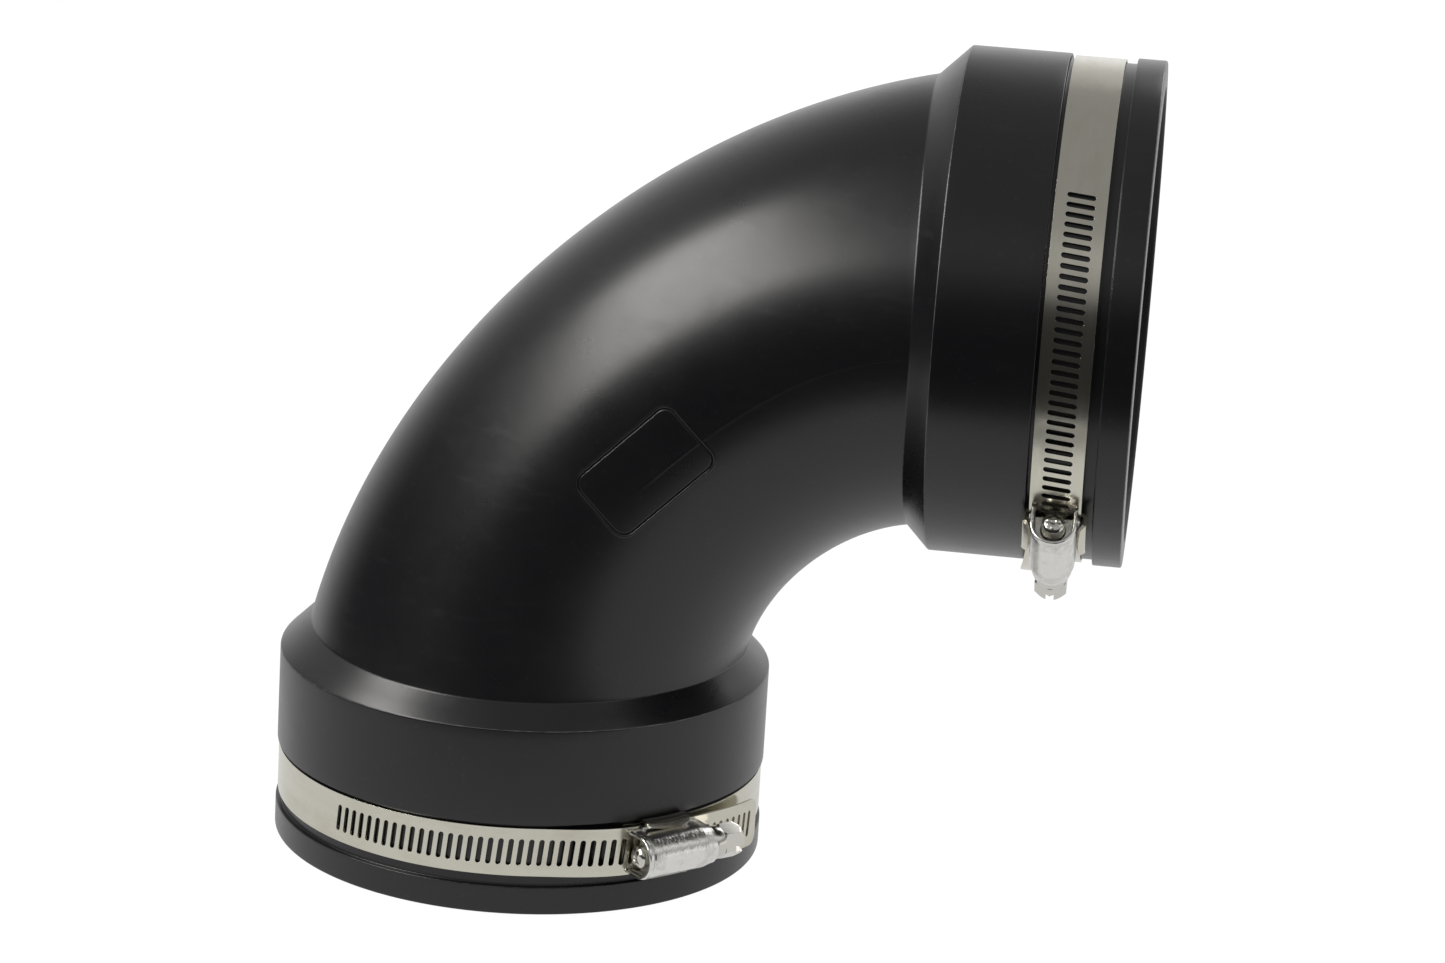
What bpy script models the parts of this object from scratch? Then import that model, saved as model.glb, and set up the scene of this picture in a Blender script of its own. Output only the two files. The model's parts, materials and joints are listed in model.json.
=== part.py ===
# Flexible PVC elbow coupling with two worm drive clamps.
# A soft 90 degree elbow ends in two pipe sockets. Each socket collar has a shallow groove
# that holds a slotted stainless band, its saddle, its housing and its worm screw.
# Lengths are in metres. The lower socket faces down and the side socket faces +X.

from math import asin, cos, pi, radians, sin, sqrt, tan

import bmesh
import bpy
from mathutils import Matrix, Vector

# Elbow body
PIPE_DIAMETER = 0.1143
COLLAR_WALL = 0.00685
LEG_TO_CORNER = 0.1536
COLLAR_LENGTH = 0.0490
CHAMFER_ANGLE = radians(45)
LIP_LENGTH = 0.0075
GROOVE_LENGTH = 0.0166
SOCKET_DEPTH = 0.0445
MOUTH_BEVEL = 0.0010
EDGE_ROUND = 0.0006
TUBE_END_RADIUS = 0.0597
TUBE_MIDDLE_RADIUS = 0.05176
TUBE_WALL = 0.0060
BEND_START = 0.0362
BEND_HANDLE = 0.0600

# Clearance between pieces that seat or run on each other
FIT_GAP = 0.0003

# Clamp band
BAND_WIDTH = 0.0127
BAND_THICKNESS = 0.00065
BAND_TO_COLLAR = 0.0010
BAND_RECESS = 0.00045
SLOT_PITCH = 0.00264
SLOT_LENGTH = 0.0070
SLOT_WIDTH = 0.00135
SLOT_SLANT = radians(6)
SLOTTED_TURN = radians(112)
TAIL_LIFT = 0.0014
TAIL_DROP = 0.0032
TAIL_CORNER = 0.0030
RAMP_ANGLE = radians(21)

# Clamp saddle
SADDLE_LENGTH = 0.0130
SADDLE_THICKNESS = 0.0008
EAR_CLEARANCE = 0.0006
SADDLE_FOLD_CUT = 0.0004

# Clamp housing
HOUSING_LENGTH = 0.0215
HOUSING_WALL = 0.0008
HOUSING_TAPER = 0.0006
TAPER_LENGTH = 0.0040
FLANGE_CLEAR_ENDS = 0.0035
RIM_DEPTH = 0.0016
WEB_THICKNESS = 0.0009
STEP_RUN = 0.0002

# Worm screw
SHANK_RADIUS = 0.0038
THREAD_ROOM = 0.0010
PILOT_RADIUS = 0.00285
PILOT_REACH = 0.0005
DOME_HEIGHT = 0.0012
NECK_RADIUS = 0.0030
SCREW_COLLAR_RADIUS = 0.0043
SCREW_COLLAR_THICKNESS = 0.0032
HEX_ACROSS_FLATS = 0.0079
HEX_LENGTH = 0.0060
HEX_CORNER_CUT = 0.0006
DRIVE_SLOT_WIDTH = 0.0020
DRIVE_SLOT_DEPTH = 0.0027

# Turn of each clamp's housing round its collar, from the inner side of the bend
LOWER_CLAMP_TURN = radians(-46.5)
SIDE_CLAMP_TURN = radians(-47)

# Slotted part of each band that isn't drawn through its housing yet
LOWER_SLOTTED_BEFORE = radians(81)
SIDE_SLOTTED_BEFORE = radians(82.7)

# Facets
ROUND_STEPS = 56
BEND_STEPS = 22
PASSAGE_STEPS = 14
ARCH_STEPS = 10
SCREW_STEPS = 18
PLAIN_BAND_STEP = radians(6)
SADDLE_STEPS = 4

# Sizes that follow from the ones above
bore_radius = PIPE_DIAMETER / 2
collar_radius = bore_radius + COLLAR_WALL
groove_floor = collar_radius - BAND_RECESS - BAND_THICKNESS - FIT_GAP
groove_end = LIP_LENGTH + GROOVE_LENGTH
band_inner = groove_floor + FIT_GAP
saddle_inner = band_inner + BAND_THICKNESS + FIT_GAP
raised_inner = saddle_inner + SADDLE_THICKNESS + FIT_GAP
housing_foot = raised_inner + BAND_THICKNESS + FIT_GAP
worm_height = housing_foot + SHANK_RADIUS
arch_inner = SHANK_RADIUS + THREAD_ROOM
arch_outer = arch_inner + HOUSING_WALL
housing_half = HOUSING_LENGTH / 2
housing_angle = asin(housing_half / saddle_inner)
band_middle = groove_end - BAND_TO_COLLAR - BAND_WIDTH / 2
pitch_angle = SLOT_PITCH / (raised_inner + BAND_THICKNESS / 2)

# The origin lies under the middle of the whole part
origin_from_socket_axis = Vector(((LEG_TO_CORNER - collar_radius) / 2, 0, 0))


def clear_scene():
    for item in list(bpy.data.objects):
        bpy.data.objects.remove(item, do_unlink=True)


def make_material(name, colour, roughness, metallic):
    material = bpy.data.materials.new(name)
    material.use_nodes = True
    shader = material.node_tree.nodes["Principled BSDF"]
    shader.inputs["Base Color"].default_value = (*colour, 1)
    shader.inputs["Roughness"].default_value = roughness
    shader.inputs["Metallic"].default_value = metallic
    return material


def make_object(name, vertices, faces, material, parent=None, place=None, closed=True):
    mesh = bpy.data.meshes.new(name)
    mesh.from_pydata(vertices, [], faces)
    if closed:
        shell = bmesh.new()
        shell.from_mesh(mesh)
        bmesh.ops.recalc_face_normals(shell, faces=shell.faces)
        shell.to_mesh(mesh)
        shell.free()
    mesh.shade_smooth()
    mesh.set_sharp_from_angle(angle=radians(32))
    mesh.materials.append(material)
    item = bpy.data.objects.new(name, mesh)
    item.parent = parent
    item.matrix_local = place or Matrix()
    bpy.context.collection.objects.link(item)
    return item


def grid_faces(rows, columns, rows_close, columns_close):
    # Quads between the neighbours in a grid of vertices that is numbered row by row
    faces = []
    for row in range(rows if rows_close else rows - 1):
        next_row = (row + 1) % rows
        for column in range(columns if columns_close else columns - 1):
            next_column = (column + 1) % columns
            faces.append((
                row * columns + column,
                row * columns + next_column,
                next_row * columns + next_column,
                next_row * columns + column,
            ))
    return faces


def ease(amount):
    amount = min(max(amount, 0), 1)
    return amount * amount * (3 - 2 * amount)


# Elbow body

def bend_frame(t):
    # Place and heading on the bend's centreline, a cubic curve from leg to leg
    start = Vector((0, 0, BEND_START))
    leave = Vector((0, 0, BEND_START + BEND_HANDLE))
    arrive = Vector((LEG_TO_CORNER - BEND_START - BEND_HANDLE, 0, LEG_TO_CORNER))
    finish = Vector((LEG_TO_CORNER - BEND_START, 0, LEG_TO_CORNER))
    s = 1 - t
    place = s ** 3 * start + 3 * s * s * t * leave + 3 * s * t * t * arrive + t ** 3 * finish
    heading = s * s * (leave - start) + 2 * s * t * (arrive - leave) + t * t * (finish - arrive)
    return place, heading.normalized()


def tube_point(t, angle, wall):
    # The tube is slimmest in mid bend. A wall above zero gives a point of its passage
    place, heading = bend_frame(t)
    inner_side = Vector((0, 1, 0)).cross(heading)
    radius = TUBE_END_RADIUS + (TUBE_MIDDLE_RADIUS - TUBE_END_RADIUS) * 4 * t * (1 - t) - wall
    return place + radius * (cos(angle) * inner_side + sin(angle) * Vector((0, 1, 0)))


def above_chamfer(point):
    # The chamfer is a cone from the collar's edge inwards to the tube
    cone = collar_radius - (point.z - COLLAR_LENGTH) / tan(CHAMFER_ANGLE)
    return Vector((point.x, point.y)).length > cone


def above_stop(point):
    return point.z > SOCKET_DEPTH


def first_crossing(angle, wall, is_past):
    # Where one long line of the tube leaves the lower collar, found by halving
    low = 0
    high = 0.5
    for _ in range(40):
        middle = (low + high) / 2
        if is_past(tube_point(middle, angle, wall)):
            high = middle
        else:
            low = middle
    return high


def tube_rings(angles, wall, is_past, steps):
    starts = [first_crossing(angle, wall, is_past) for angle in angles]
    rings = []
    for step in range(steps + 1):
        share = step / steps
        ring = [
            tube_point(start + share * (1 - 2 * start), angle, wall)
            for start, angle in zip(starts, angles)
        ]
        rings.append(ring)
    return rings


def leg_ring(side, distance, radius, angles):
    # A ring round the lower leg's axis or the side leg's, at a distance from its end face
    ring = []
    for angle in angles:
        inward = radius * cos(angle)
        across = radius * sin(angle)
        if side:
            ring.append(Vector((LEG_TO_CORNER - distance, across, LEG_TO_CORNER - inward)))
        else:
            ring.append(Vector((inward, across, distance)))
    return ring


def make_elbow(material):
    angles = [2 * pi * step / ROUND_STEPS for step in range(ROUND_STEPS)]
    half_round = EDGE_ROUND / 2
    outside = [
        (0, collar_radius - EDGE_ROUND),
        (0.3 * EDGE_ROUND, collar_radius - 0.3 * EDGE_ROUND),
        (EDGE_ROUND, collar_radius),
        (LIP_LENGTH - half_round, collar_radius),
        (LIP_LENGTH, collar_radius - half_round),
        (LIP_LENGTH, groove_floor),
        (groove_end, groove_floor),
        (groove_end, collar_radius - half_round),
        (groove_end + half_round, collar_radius),
        (COLLAR_LENGTH, collar_radius),
    ]
    inside = [
        (0, bore_radius + MOUTH_BEVEL),
        (MOUTH_BEVEL, bore_radius),
        (SOCKET_DEPTH, bore_radius),
    ]
    skin = [leg_ring(False, *stop, angles) for stop in outside]
    skin += tube_rings(angles, 0, above_chamfer, BEND_STEPS)
    skin += [leg_ring(True, *stop, angles) for stop in reversed(outside)]
    bore = [leg_ring(False, *stop, angles) for stop in inside]
    bore += tube_rings(angles, TUBE_WALL, above_stop, PASSAGE_STEPS)
    bore += [leg_ring(True, *stop, angles) for stop in reversed(inside)]
    rings = skin + bore[::-1]
    vertices = [point - origin_from_socket_axis for ring in rings for point in ring]
    faces = grid_faces(len(rings), ROUND_STEPS, True, True)
    return make_object("elbow_body", vertices, faces, material)


# Clamp pieces, each in the frame of its clamp: Z along the collar's axis, X out through
# the middle of the housing, and Y the way that the worm screw points

def band_radius(angle, tail_after):
    # Inner face of the band: one turn on the groove's floor, then a ramp up over its own
    # fixed end and the saddle, then the tail, which springs off a little
    ramp = ease((angle - 2 * pi + housing_angle + RAMP_ANGLE) / RAMP_ANGLE)
    spring = ease((angle - 2 * pi - housing_angle) / tail_after)
    return band_inner + (raised_inner - band_inner) * ramp + TAIL_LIFT * spring


def band_drop(angle, tail_after):
    # The tail leaves its housing a little askew, towards the end of the socket
    share = max(angle - 2 * pi, 0) / (housing_angle + tail_after)
    return TAIL_DROP * share ** 1.2


def make_band(name, slotted_before, material, parent):
    tail_after = SLOTTED_TURN - slotted_before
    vertices = []
    faces = []

    def add(angle, across):
        radius = band_radius(angle, tail_after)
        height = across - band_drop(angle, tail_after)
        vertices.append((radius * cos(angle), radius * sin(angle), height))
        return len(vertices) - 1

    def add_across(angle, half_width):
        return add(angle, -half_width), add(angle, half_width)

    def slot_corner(middle, along, across):
        lean = across * tan(SLOT_SLANT) + along
        return add(middle + lean / raised_inner, across)

    half_width = BAND_WIDTH / 2
    begin = -housing_angle
    slots_from = 2 * pi - slotted_before
    slot_count = round(SLOTTED_TURN / pitch_angle)
    plain_count = round((slots_from - begin) / PLAIN_BAND_STEP)
    low, high = add_across(begin, half_width)
    for step in range(1, plain_count + 1):
        angle = begin + (slots_from - begin) * step / plain_count
        next_low, next_high = add_across(angle, half_width)
        faces.append((low, next_low, next_high, high))
        low, high = next_low, next_high
    half_slot = SLOT_LENGTH / 2
    straight = half_slot - SLOT_WIDTH * 0.4
    for count in range(slot_count):
        middle = slots_from + (count + 0.5) * pitch_angle
        foot = slot_corner(middle, 0, -half_slot)
        right_low = slot_corner(middle, SLOT_WIDTH / 2, -straight)
        right_high = slot_corner(middle, SLOT_WIDTH / 2, straight)
        top = slot_corner(middle, 0, half_slot)
        left_high = slot_corner(middle, -SLOT_WIDTH / 2, straight)
        left_low = slot_corner(middle, -SLOT_WIDTH / 2, -straight)
        next_low, next_high = add_across(middle + pitch_angle / 2, half_width)
        faces.append((low, left_low, left_high, high))
        faces.append((next_low, next_high, right_high, right_low))
        faces.append((low, next_low, right_low, foot, left_low))
        faces.append((next_high, high, left_high, top, right_high))
        low, high = next_low, next_high
    last = slots_from + slot_count * pitch_angle
    end_low, end_high = add_across(last + TAIL_CORNER / raised_inner, half_width - TAIL_CORNER)
    faces.append((low, end_low, end_high, high))
    band = make_object(name, vertices, faces, material, parent, closed=False)
    sheet = band.modifiers.new("sheet thickness", "SOLIDIFY")
    sheet.thickness = BAND_THICKNESS
    sheet.offset = 1
    sheet.use_even_offset = True
    return band


def bowed(radius, along):
    # Height of a ring of this radius at a distance along the housing
    return sqrt(radius * radius - along * along)


def make_saddle(name, material, parent):
    # A plate between the band's two layers, with ears folded over the housing's flanges
    ear_inner = BAND_WIDTH / 2 + EAR_CLEARANCE
    ear_outer = ear_inner + SADDLE_THICKNESS
    fold_under = housing_foot + HOUSING_WALL + FIT_GAP
    fold_top = fold_under + SADDLE_THICKNESS
    fold_end = arch_outer + FIT_GAP
    floor_top = saddle_inner + SADDLE_THICKNESS
    cut = SADDLE_FOLD_CUT
    half_section = [
        (ear_outer - cut, saddle_inner),
        (ear_outer, saddle_inner + cut),
        (ear_outer, fold_top - cut),
        (ear_outer - cut, fold_top),
        (fold_end, fold_top),
        (fold_end, fold_under),
        (ear_inner, fold_under),
        (ear_inner, floor_top),
    ]
    section = half_section + [(-across, radius) for across, radius in reversed(half_section)]
    vertices = []
    for step in range(SADDLE_STEPS + 1):
        along = SADDLE_LENGTH * (step / SADDLE_STEPS - 0.5)
        for across, radius in section:
            vertices.append((bowed(radius, along), along, across))
    size = len(section)
    faces = grid_faces(SADDLE_STEPS + 1, size, False, True)
    faces.append(tuple(range(size)))
    faces.append(tuple(range(SADDLE_STEPS * size, (SADDLE_STEPS + 1) * size)))
    return make_object(name, vertices, faces, material, parent)


def housing_section(along, inner, outer, flange):
    # An arch on two legs with a flange on each. Its feet follow the band's round
    foot = bowed(housing_foot, along)
    flange_top = bowed(housing_foot + HOUSING_WALL, along)
    arch = [pi * step / ARCH_STEPS for step in range(ARCH_STEPS + 1)]
    section = [(flange, foot), (flange, flange_top), (outer, flange_top)]
    section += [(outer * cos(turn), worm_height + outer * sin(turn)) for turn in arch]
    section += [(-outer, flange_top), (-flange, flange_top), (-flange, foot), (-inner, foot)]
    section += [(inner * cos(turn), worm_height + inner * sin(turn)) for turn in arch[::-1]]
    section += [(inner, foot)]
    return [(height, along, across) for across, height in section]


def make_housing(name, material, parent):
    flange = BAND_WIDTH / 2
    slim = arch_outer + STEP_RUN
    pilot_hole = PILOT_RADIUS + FIT_GAP
    neck_hole = NECK_RADIUS + FIT_GAP
    head_outer = arch_outer - HOUSING_TAPER
    web_start = -housing_half + RIM_DEPTH
    web_end = web_start + WEB_THICKNESS
    flange_start = -housing_half + FLANGE_CLEAR_ENDS
    taper_start = housing_half - TAPER_LENGTH
    head_web = housing_half - WEB_THICKNESS
    near_head = arch_outer - HOUSING_TAPER * (TAPER_LENGTH - WEB_THICKNESS) / TAPER_LENGTH
    stations = [
        (-housing_half, arch_inner, arch_outer, slim),
        (web_start, arch_inner, arch_outer, slim),
        (web_start + STEP_RUN, pilot_hole, arch_outer, slim),
        (web_end, pilot_hole, arch_outer, slim),
        (web_end + STEP_RUN, arch_inner, arch_outer, slim),
        (flange_start, arch_inner, arch_outer, slim),
        (flange_start + STEP_RUN, arch_inner, arch_outer, flange),
        (0, arch_inner, arch_outer, flange),
        (taper_start - STEP_RUN, arch_inner, arch_outer, flange),
        (taper_start, arch_inner, arch_outer, slim),
        (head_web - STEP_RUN, arch_inner, near_head, near_head + STEP_RUN),
        (head_web, neck_hole, near_head, near_head + STEP_RUN),
        (housing_half, neck_hole, head_outer, head_outer + STEP_RUN),
    ]
    rings = [housing_section(*station) for station in stations]
    vertices = [point for ring in rings for point in ring]
    size = len(rings[0])
    faces = grid_faces(len(rings), size, False, True)
    faces.append(tuple(range(size)))
    faces.append(tuple(range(len(vertices) - size, len(vertices))))
    return make_object(name, vertices, faces, material, parent)


def hex_radius(turn):
    # Reach of a hexagon at this turn, as a share of its corner radius
    from_flat = (turn + pi / 6) % (pi / 3) - pi / 6
    return cos(pi / 6) / cos(pi / 6 - abs(from_flat))


def make_worm_screw(name, material, parent):
    # A turned screw along its own Z: domed pilot, shank, neck, collar and slotted hex head
    turns = [2 * pi * step / SCREW_STEPS for step in range(SCREW_STEPS)]
    shank_start = -housing_half + RIM_DEPTH + WEB_THICKNESS + STEP_RUN + FIT_GAP
    shank_end = housing_half - WEB_THICKNESS - STEP_RUN - FIT_GAP
    collar_start = housing_half + FIT_GAP
    hex_start = collar_start + SCREW_COLLAR_THICKNESS
    hex_end = hex_start + HEX_LENGTH
    pilot_end = -housing_half - PILOT_REACH
    round_stops = [
        (pilot_end - DOME_HEIGHT, 0.35 * PILOT_RADIUS),
        (pilot_end - 0.6 * DOME_HEIGHT, 0.8 * PILOT_RADIUS),
        (pilot_end, PILOT_RADIUS),
        (shank_start, PILOT_RADIUS),
        (shank_start, SHANK_RADIUS),
        (shank_end, SHANK_RADIUS),
        (shank_end, NECK_RADIUS),
        (collar_start, NECK_RADIUS),
        (collar_start, SCREW_COLLAR_RADIUS),
        (hex_start, SCREW_COLLAR_RADIUS),
    ]
    corner_radius = HEX_ACROSS_FLATS / 2 / cos(pi / 6)
    hex_stops = [
        (hex_start, corner_radius - HEX_CORNER_CUT),
        (hex_start + HEX_CORNER_CUT, corner_radius),
        (hex_end - HEX_CORNER_CUT, corner_radius),
        (hex_end, corner_radius - HEX_CORNER_CUT),
    ]
    vertices = []
    for along, radius in round_stops:
        vertices += [(radius * cos(turn), radius * sin(turn), along) for turn in turns]
    for along, radius in hex_stops:
        for turn in turns:
            reach = radius * hex_radius(turn)
            vertices.append((reach * cos(turn), reach * sin(turn), along))
    rows = len(round_stops) + len(hex_stops)
    faces = grid_faces(rows, SCREW_STEPS, False, True)
    faces.append(tuple(range(SCREW_STEPS)))
    faces.append(tuple(range((rows - 1) * SCREW_STEPS, rows * SCREW_STEPS)))
    # Its Z runs along the clamp's Y, at the worm's height above the collar's axis
    place = Matrix.Translation((worm_height, 0, 0)) @ Matrix.Rotation(-pi / 2, 4, "X")
    screw = make_object(name, vertices, faces, material, parent, place)
    cutter = make_slot_cutter(name, material, screw, hex_end)
    slot = screw.modifiers.new("driver slot", "BOOLEAN")
    slot.operation = "DIFFERENCE"
    slot.object = cutter
    return screw


def make_slot_cutter(name, material, parent, head_end):
    half_width = DRIVE_SLOT_WIDTH / 2
    reach = HEX_ACROSS_FLATS
    low = head_end - DRIVE_SLOT_DEPTH
    high = head_end + DRIVE_SLOT_DEPTH
    corners = [(-reach, -half_width), (reach, -half_width), (reach, half_width), (-reach, half_width)]
    vertices = [(x, y, z) for z in (low, high) for x, y in corners]
    faces = grid_faces(2, 4, False, True)
    faces += [(0, 1, 2, 3), (4, 5, 6, 7)]
    cutter = make_object(name + "_slot_cutter", vertices, faces, material, parent)
    cutter.hide_render = True
    cutter.display_type = "WIRE"
    return cutter


def make_clamp(prefix, place, slotted_before, steel, bright_steel):
    axis = bpy.data.objects.new(prefix + "_clamp_axis", None)
    axis.matrix_world = place
    bpy.context.collection.objects.link(axis)
    make_band(prefix + "_band", slotted_before, steel, axis)
    make_saddle(prefix + "_saddle", steel, axis)
    make_housing(prefix + "_housing", bright_steel, axis)
    make_worm_screw(prefix + "_worm_screw", bright_steel, axis)


def leg_frame(side, distance):
    # Z along the leg, X towards the inner side of the bend
    if side:
        columns = ((0, 0, -1), (0, 1, 0), (1, 0, 0))
        middle = Vector((LEG_TO_CORNER - distance, 0, LEG_TO_CORNER))
    else:
        columns = ((1, 0, 0), (0, 1, 0), (0, 0, 1))
        middle = Vector((0, 0, distance))
    turn = Matrix(columns).transposed().to_4x4()
    return Matrix.Translation(middle - origin_from_socket_axis) @ turn


def build():
    clear_scene()
    soft_pvc = make_material("soft black pvc", (0.022, 0.022, 0.025), 0.45, 0)
    steel = make_material("stainless band", (0.60, 0.59, 0.54), 0.32, 1)
    bright_steel = make_material("bright stainless", (0.68, 0.67, 0.64), 0.22, 1)
    make_elbow(soft_pvc)
    lower = leg_frame(False, band_middle) @ Matrix.Rotation(LOWER_CLAMP_TURN, 4, "Z")
    make_clamp("lower", lower, LOWER_SLOTTED_BEFORE, steel, bright_steel)
    side = leg_frame(True, band_middle) @ Matrix.Rotation(SIDE_CLAMP_TURN, 4, "Z")
    make_clamp("side", side, SIDE_SLOTTED_BEFORE, steel, bright_steel)


build()
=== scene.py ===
import json
from math import asin, cos, pi, radians, sin, sqrt, tan

import bmesh
import bpy
from mathutils import Matrix, Vector


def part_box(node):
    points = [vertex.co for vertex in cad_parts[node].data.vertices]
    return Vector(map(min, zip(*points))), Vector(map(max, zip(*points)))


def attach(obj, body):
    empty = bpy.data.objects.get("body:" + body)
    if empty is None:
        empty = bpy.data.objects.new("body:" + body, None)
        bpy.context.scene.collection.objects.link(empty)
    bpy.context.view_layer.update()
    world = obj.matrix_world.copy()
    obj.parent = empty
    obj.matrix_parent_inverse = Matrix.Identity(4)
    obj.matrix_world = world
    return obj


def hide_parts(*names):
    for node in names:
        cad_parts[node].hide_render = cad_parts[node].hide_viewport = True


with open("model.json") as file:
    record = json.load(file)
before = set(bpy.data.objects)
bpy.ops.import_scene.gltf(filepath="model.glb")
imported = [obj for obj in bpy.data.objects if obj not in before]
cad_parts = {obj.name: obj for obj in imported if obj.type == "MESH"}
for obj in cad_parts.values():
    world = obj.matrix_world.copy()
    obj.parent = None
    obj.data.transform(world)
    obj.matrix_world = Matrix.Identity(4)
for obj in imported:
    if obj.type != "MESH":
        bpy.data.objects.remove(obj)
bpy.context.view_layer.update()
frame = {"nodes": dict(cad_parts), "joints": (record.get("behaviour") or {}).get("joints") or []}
joints = {joint["name"]: joint for joint in frame["joints"]}
print("solids loaded:", len(frame["nodes"]))

# Camera, table, room and lamps

viewpoint = {
    "lens": 109.61,          # mm on a 36 mm wide sensor
    "azimuth": 6.494,        # degrees round from the front, towards the side socket
    "elevation": 16.064,
    "roll": 3.532,
    "distance": 1.13466,
    "lookAt": (0.00431, 0, 0.09983),
}


def placeCamera(values):
    azimuth = radians(values["azimuth"])
    elevation = radians(values["elevation"])
    roll = radians(values["roll"])
    back = Vector((sin(azimuth) * cos(elevation), -cos(azimuth) * cos(elevation), sin(elevation)))
    right = Vector((0, 0, 1)).cross(back).normalized()
    up = back.cross(right)
    columns = (cos(roll) * right + sin(roll) * up, cos(roll) * up - sin(roll) * right, back)
    camera = bpy.data.cameras.new("productCamera")
    camera.lens = values["lens"]
    camera.sensor_width = 36
    camera.clip_start = 0.01
    item = bpy.data.objects.new("productCamera", camera)
    bpy.context.scene.collection.objects.link(item)
    place = Matrix.Translation(Vector(values["lookAt"]) + back * values["distance"])
    item.matrix_world = place @ Matrix(columns).transposed().to_4x4()
    bpy.context.scene.camera = item


class Wire:
    # One socket in a node tree, so that 1 - mask or mask * 0.5 adds its Math node
    def __init__(self, paint, socket):
        self.paint = paint
        self.socket = socket

    def __add__(self, other):
        return self.paint.maths("ADD", self, other)

    def __sub__(self, other):
        return self.paint.maths("SUBTRACT", self, other)

    def __rsub__(self, other):
        return self.paint.maths("SUBTRACT", other, self)

    def __mul__(self, other):
        return self.paint.maths("MULTIPLY", self, other)

    __radd__ = __add__
    __rmul__ = __mul__


class Paint:
    # A node tree under construction: a material's, or the world's
    def __init__(self, tree):
        self.tree = tree

    def node(self, kind, settings=None, sockets=None, output=0):
        item = self.tree.nodes.new("ShaderNode" + kind)
        for name, value in (settings or {}).items():
            if name == "stops":
                self.setStops(item.color_ramp, value)
            else:
                setattr(item, name, value)
        for name, value in (sockets or {}).items():
            if isinstance(value, Wire):
                self.tree.links.new(value.socket, item.inputs[name])
            else:
                item.inputs[name].default_value = value
        return Wire(self, item.outputs[output]) if item.outputs else item

    def setStops(self, ramp, stops):
        while len(ramp.elements) < len(stops):
            ramp.elements.new(1)
        for element, (position, grey) in zip(ramp.elements, stops):
            element.position = position
            element.color = (grey, grey, grey, 1)

    def maths(self, operation, first, second):
        return self.node("Math", {"operation": operation}, {0: first, 1: second})

    def ramp(self, value, *stops):
        return self.node("ValToRGB", {"stops": stops}, {0: value})

    def blend(self, share, first, second):
        return self.node("Mix", {"data_type": "RGBA"}, {0: share, 6: first, 7: second}, 2)

    def scaled(self, vector, factors):
        return self.node("VectorMath", {"operation": "MULTIPLY"}, {0: vector, 1: factors})

    def grain(self, vector, scale, detail=2, roughness=0.5):
        values = {"Vector": vector, "Scale": scale, "Detail": detail, "Roughness": roughness}
        return self.node("TexNoise", {}, values)

    def bump(self, height, depth, under=None):
        sockets = {"Height": height, "Distance": depth, "Strength": 1}
        if under:
            sockets["Normal"] = under
        return self.node("Bump", {}, sockets)


def newPaint(name, metallic, roughness, specular=0.5):
    material = bpy.data.materials.new(name)
    material.use_nodes = True
    shader = material.node_tree.nodes["Principled BSDF"]
    shader.inputs["Metallic"].default_value = metallic
    shader.inputs["Roughness"].default_value = roughness
    shader.inputs["Specular IOR Level"].default_value = specular
    return material, Paint(material.node_tree)


def connect(material, **links):
    shader = material.node_tree.nodes["Principled BSDF"]
    for name, wire in links.items():
        socket = shader.inputs[{"colour": "Base Color", "roughness": "Roughness", "normal": "Normal"}[name]]
        material.node_tree.links.new(wire.socket, socket)


table = {
    "left": -0.42,
    "right": 2.5,
    "front": -0.23,           # the table ends here, just outside the view
    "back": 4.0,
    "drop": 0.0004,           # it lies this far under the part, which keeps their faces apart
    "colour": (0.80, 0.80, 0.80, 1),
    "shadowShare": 0.06,      # how much of the object's shadow the white table keeps
    "plainFrom": 0.30,        # from here outwards the shadow fades
    "plainTo": 0.42,
    "level": 1.05,
    "gloss": 0.80,            # how bright the table shows in metal and gloss
}


def makeTable(values):
    left, right, near, far = [values[side] for side in ("left", "right", "front", "back")]
    corners = [(left, near, 0), (right, near, 0), (right, far, 0), (left, far, 0)]
    mesh = bpy.data.meshes.new("whiteTable")
    mesh.from_pydata(corners, [], [(0, 1, 2, 3)])
    item = bpy.data.objects.new("whiteTable", mesh)
    item.location.z = -values["drop"]
    bpy.context.scene.collection.objects.link(item)
    material = bpy.data.materials.new("whiteTable")
    material.use_nodes = True
    tree = material.node_tree
    tree.nodes.remove(tree.nodes["Principled BSDF"])
    paint = Paint(tree)
    lit = paint.node("BsdfDiffuse", {}, {"Color": values["colour"]})
    straight = paint.node("LightPath", {}, {}, "Is Camera Ray")
    glossy = paint.node("LightPath", {}, {}, "Is Glossy Ray")
    bare = paint.node("Emission", {}, {"Strength": values["level"]})
    shine = paint.node("Emission", {}, {"Strength": values["gloss"]})
    white = paint.node("MixShader", {}, {0: glossy, 1: bare, 2: shine})
    seen = paint.maths("MAXIMUM", straight, glossy)
    place = paint.node("TexCoord", {}, {}, "Object")
    reach = paint.node("VectorMath", {"operation": "LENGTH"}, {0: place}, "Value")
    plain = paint.ramp(reach, (values["plainFrom"], 1 - values["shadowShare"]), (values["plainTo"], 1))
    mixed = paint.node("MixShader", {}, {0: plain * seen, 1: lit, 2: white})
    tree.links.new(mixed.socket, tree.nodes["Material Output"].inputs["Surface"])
    mesh.materials.append(material)


# What metal and gloss see of the room. Each fade runs from its first place to its second, in
# shares of the way to the right, to the front or up
room = {
    "front": 0.030,           # the dark room in front of the table
    "frontFade": (0.02, 0.33),
    "frontTop": (0.24, 0.62),
    "ceiling": 0.34,
    "ceilingFade": (0.25, 0.75),
    "rightLit": 0.75,         # how far the ceiling's right side is lit
    "rightFade": (0.42, 0.62),
    "boardFade": (0.76, 0.90),
    "boardTop": (0.16, 0.32),
}


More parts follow.
